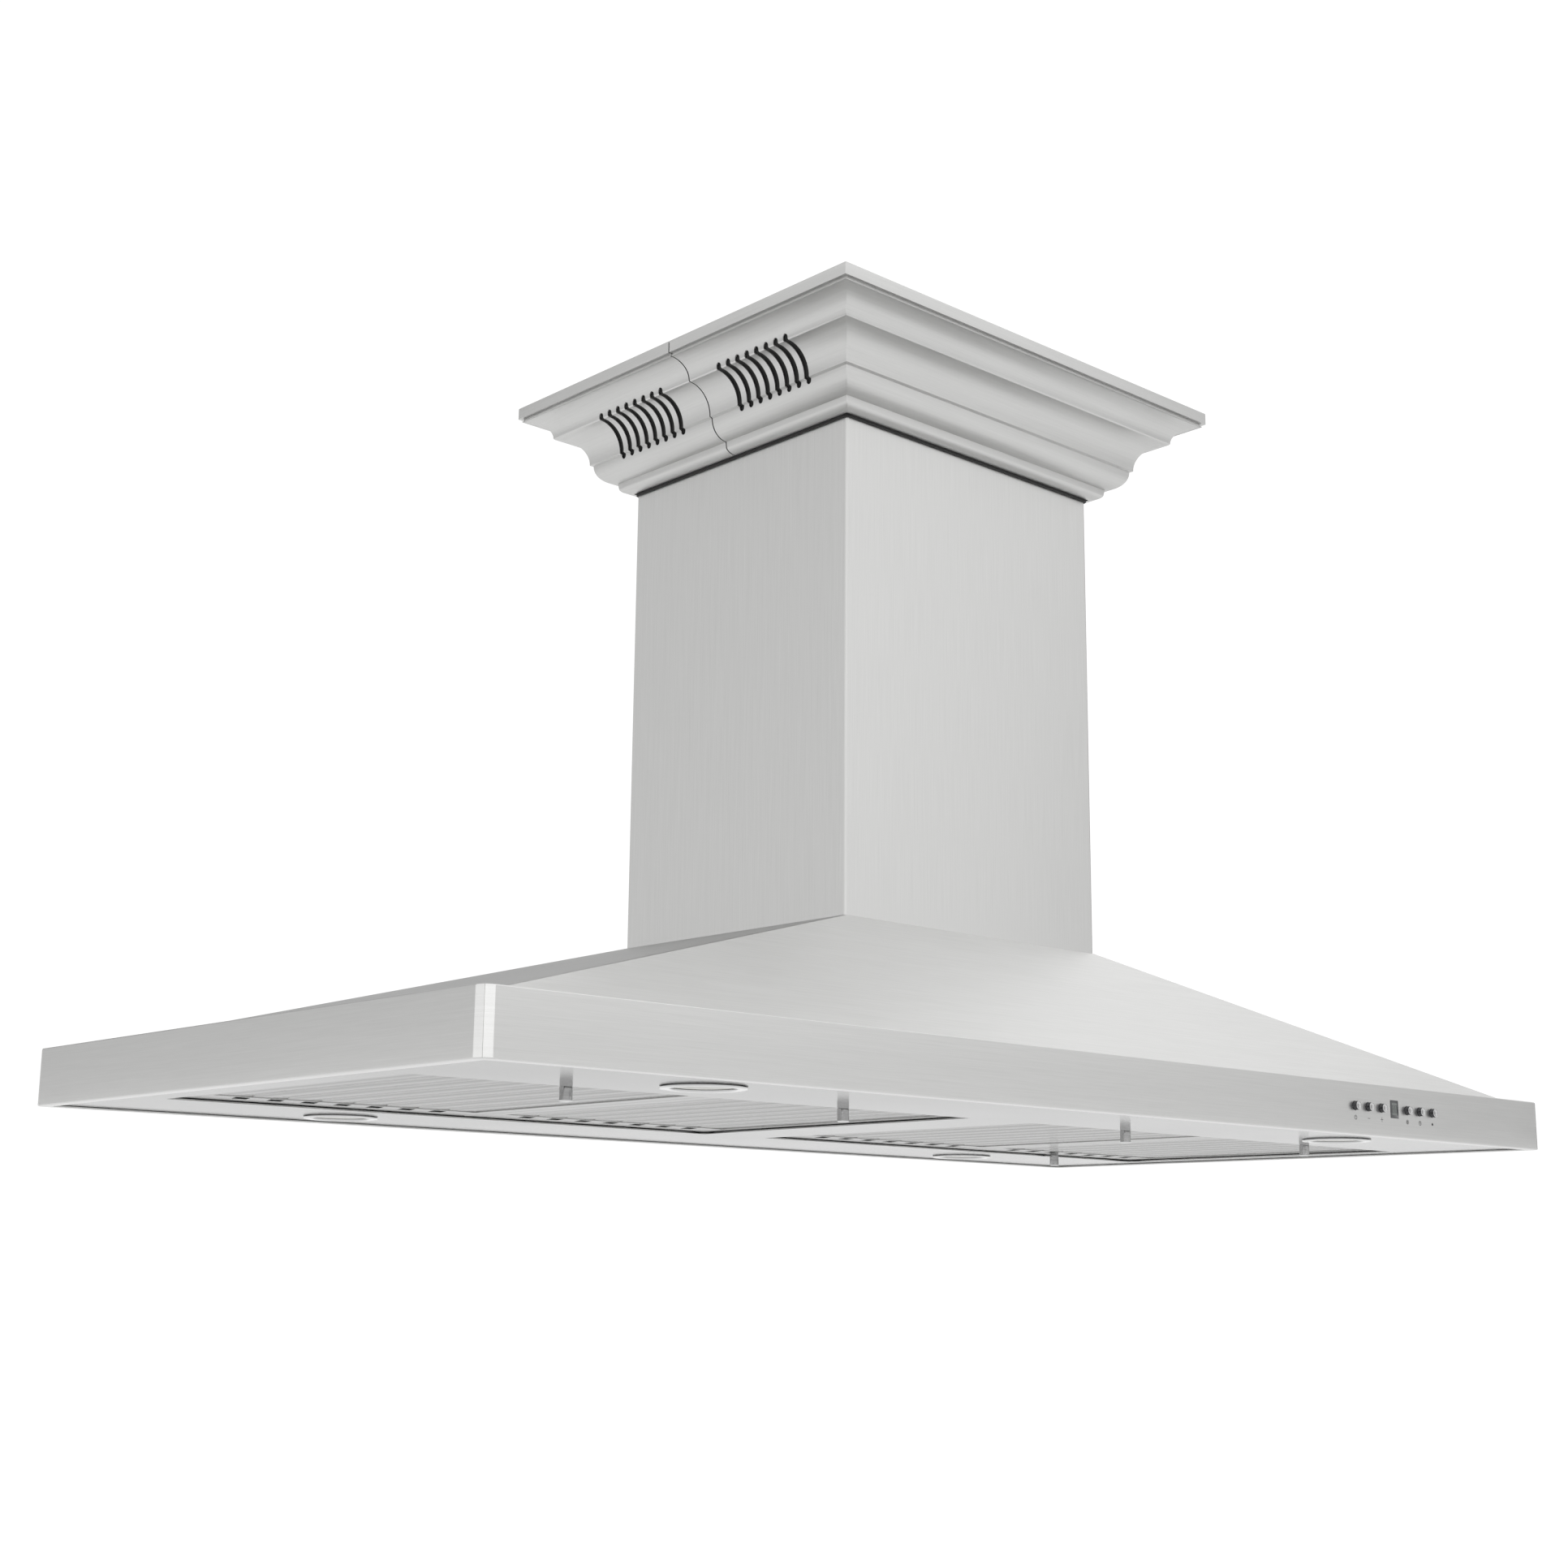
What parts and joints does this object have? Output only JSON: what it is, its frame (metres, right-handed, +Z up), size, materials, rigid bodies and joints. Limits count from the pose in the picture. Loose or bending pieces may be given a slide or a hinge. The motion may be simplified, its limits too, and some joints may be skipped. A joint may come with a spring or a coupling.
{
  "type": "island range hood",
  "caption": "Ceiling-hung island range hood in brushed stainless steel: low pyramid canopy with baffle filters, telescoping square chimney and stepped crown moulding with speaker vents.",
  "frame": {"origin": "middle of the ceiling plate's top face, where the hood meets the ceiling; the duct hole passes through it", "axes": "+X along the long front, to the right for someone facing the controls; the front with the controls faces -Y; +Z up into the ceiling"},
  "size_m": [1.2, 0.594, 0.6568],
  "materials": {
    "brushed_steel": "satin brushed stainless sheet",
    "filter_steel": "pressed stainless baffles",
    "polished_steel": "polished",
    "zinc_steel": "zinc plated",
    "black_plastic": "matt",
    "circuit_board": "solder mask",
    "lamp_lens": "frosted",
    "display_glass": "glossy"
  },
  "bodies": {
    "ceiling": {"ceiling_plate": "zinc_steel", "crown_front": "brushed_steel", "crown_rear": "brushed_steel", "crown_clip_left": "zinc_steel", "crown_clip_right": "zinc_steel", "upper_post_back_right": "zinc_steel", "upper_post_back_left": "zinc_steel", "upper_post_front_left": "zinc_steel", "upper_post_front_right": "zinc_steel", "upper_chimney_front": "brushed_steel", "upper_chimney_rear": "brushed_steel", "speaker_front": "black_plastic", "speaker_rear": "black_plastic", "audio_module": "black_plastic"},
    "hood": {"canopy_shell": "brushed_steel", "filter_pan": "brushed_steel", "lower_frame": "zinc_steel", "blower_housing": "zinc_steel", "blower_motor": "black_plastic", "duct_collar": "zinc_steel", "lower_chimney_front": "brushed_steel", "lower_chimney_rear": "brushed_steel", "lower_post_back_right": "zinc_steel", "lower_post_back_left": "zinc_steel", "lower_post_front_left": "zinc_steel", "lower_post_front_right": "zinc_steel", "lamp_bezel_front_left": "polished_steel", "lamp_bezel_front_right": "polished_steel", "lamp_bezel_back_left": "polished_steel", "lamp_bezel_back_right": "polished_steel", "lamp_front_left": "lamp_lens", "lamp_front_right": "lamp_lens", "lamp_back_left": "lamp_lens", "lamp_back_right": "lamp_lens", "display_window": "display_glass", "control_cover": "black_plastic", "control_board": "circuit_board", "junction_box": "zinc_steel", "lamp_driver": "black_plastic"},
    "filter_left_outer": {"baffle_filter_left_outer": "filter_steel", "filter_knob_left_outer": "polished_steel"},
    "filter_left_inner": {"baffle_filter_left_inner": "filter_steel", "filter_knob_left_inner": "polished_steel"},
    "filter_right_inner": {"baffle_filter_right_inner": "filter_steel", "filter_knob_right_inner": "polished_steel"},
    "filter_right_outer": {"baffle_filter_right_outer": "filter_steel", "filter_knob_right_outer": "polished_steel", "filter_knob_right_outer_back": "polished_steel"},
    "button_1": {"button_1": "polished_steel"},
    "button_2": {"button_2": "polished_steel"},
    "button_3": {"button_3": "polished_steel"},
    "button_4": {"button_4": "polished_steel"},
    "button_5": {"button_5": "polished_steel"},
    "button_6": {"button_6": "polished_steel"},
    "blower_rotor": {"impeller_left": "zinc_steel", "impeller_right": "zinc_steel", "motor_shaft": "polished_steel"},
    "damper_flap_front": {"damper_flap_front": "zinc_steel"},
    "damper_flap_back": {"damper_flap_back": "zinc_steel"}
  },
  "joints": [
    {"name": "chimney_slide", "type": "slide", "parent": "ceiling", "child": "hood", "axis": [0, 0, -1], "range_m": [0, 0.25]},
    {"name": "filter_swing_left_outer", "type": "hinge", "parent": "hood", "child": "filter_left_outer", "pos_m": [-0.42863, 0.1585, -0.6455], "axis": [1, 0, 0], "range_deg": [0, 75]},
    {"name": "filter_swing_left_inner", "type": "hinge", "parent": "hood", "child": "filter_left_inner", "pos_m": [-0.16738, 0.1585, -0.6455], "axis": [1, 0, 0], "range_deg": [0, 75]},
    {"name": "filter_swing_right_inner", "type": "hinge", "parent": "hood", "child": "filter_right_inner", "pos_m": [0.16738, 0.1585, -0.6455], "axis": [1, 0, 0], "range_deg": [0, 75]},
    {"name": "filter_swing_right_outer", "type": "hinge", "parent": "hood", "child": "filter_right_outer", "pos_m": [0.42863, 0.1585, -0.6455], "axis": [1, 0, 0], "range_deg": [0, 75]},
    {"name": "button_press_1", "type": "slide", "parent": "hood", "child": "button_1", "axis": [0, 1, 0], "range_m": [0, 0.0015], "stiffness_N_per_m": 600, "springref_m": -0.001},
    {"name": "button_press_2", "type": "slide", "parent": "hood", "child": "button_2", "axis": [0, 1, 0], "range_m": [0, 0.0015], "stiffness_N_per_m": 600, "springref_m": -0.001},
    {"name": "button_press_3", "type": "slide", "parent": "hood", "child": "button_3", "axis": [0, 1, 0], "range_m": [0, 0.0015], "stiffness_N_per_m": 600, "springref_m": -0.001},
    {"name": "button_press_4", "type": "slide", "parent": "hood", "child": "button_4", "axis": [0, 1, 0], "range_m": [0, 0.0015], "stiffness_N_per_m": 600, "springref_m": -0.001},
    {"name": "button_press_5", "type": "slide", "parent": "hood", "child": "button_5", "axis": [0, 1, 0], "range_m": [0, 0.0015], "stiffness_N_per_m": 600, "springref_m": -0.001},
    {"name": "button_press_6", "type": "slide", "parent": "hood", "child": "button_6", "axis": [0, 1, 0], "range_m": [0, 0.0015], "stiffness_N_per_m": 600, "springref_m": -0.001},
    {"name": "blower_spin", "type": "hinge", "parent": "hood", "child": "blower_rotor", "pos_m": [0, 0, -0.5435], "axis": [1, 0, 0], "continuous": true},
    {"name": "damper_swing_front", "type": "hinge", "parent": "hood", "child": "damper_flap_front", "pos_m": [0, -0.006, -0.4287], "axis": [-1, 0, 0], "range_deg": [0, 80]},
    {"name": "damper_swing_back", "type": "hinge", "parent": "hood", "child": "damper_flap_back", "pos_m": [0, 0.006, -0.4287], "axis": [1, 0, 0], "range_deg": [0, 80]}
  ]
}
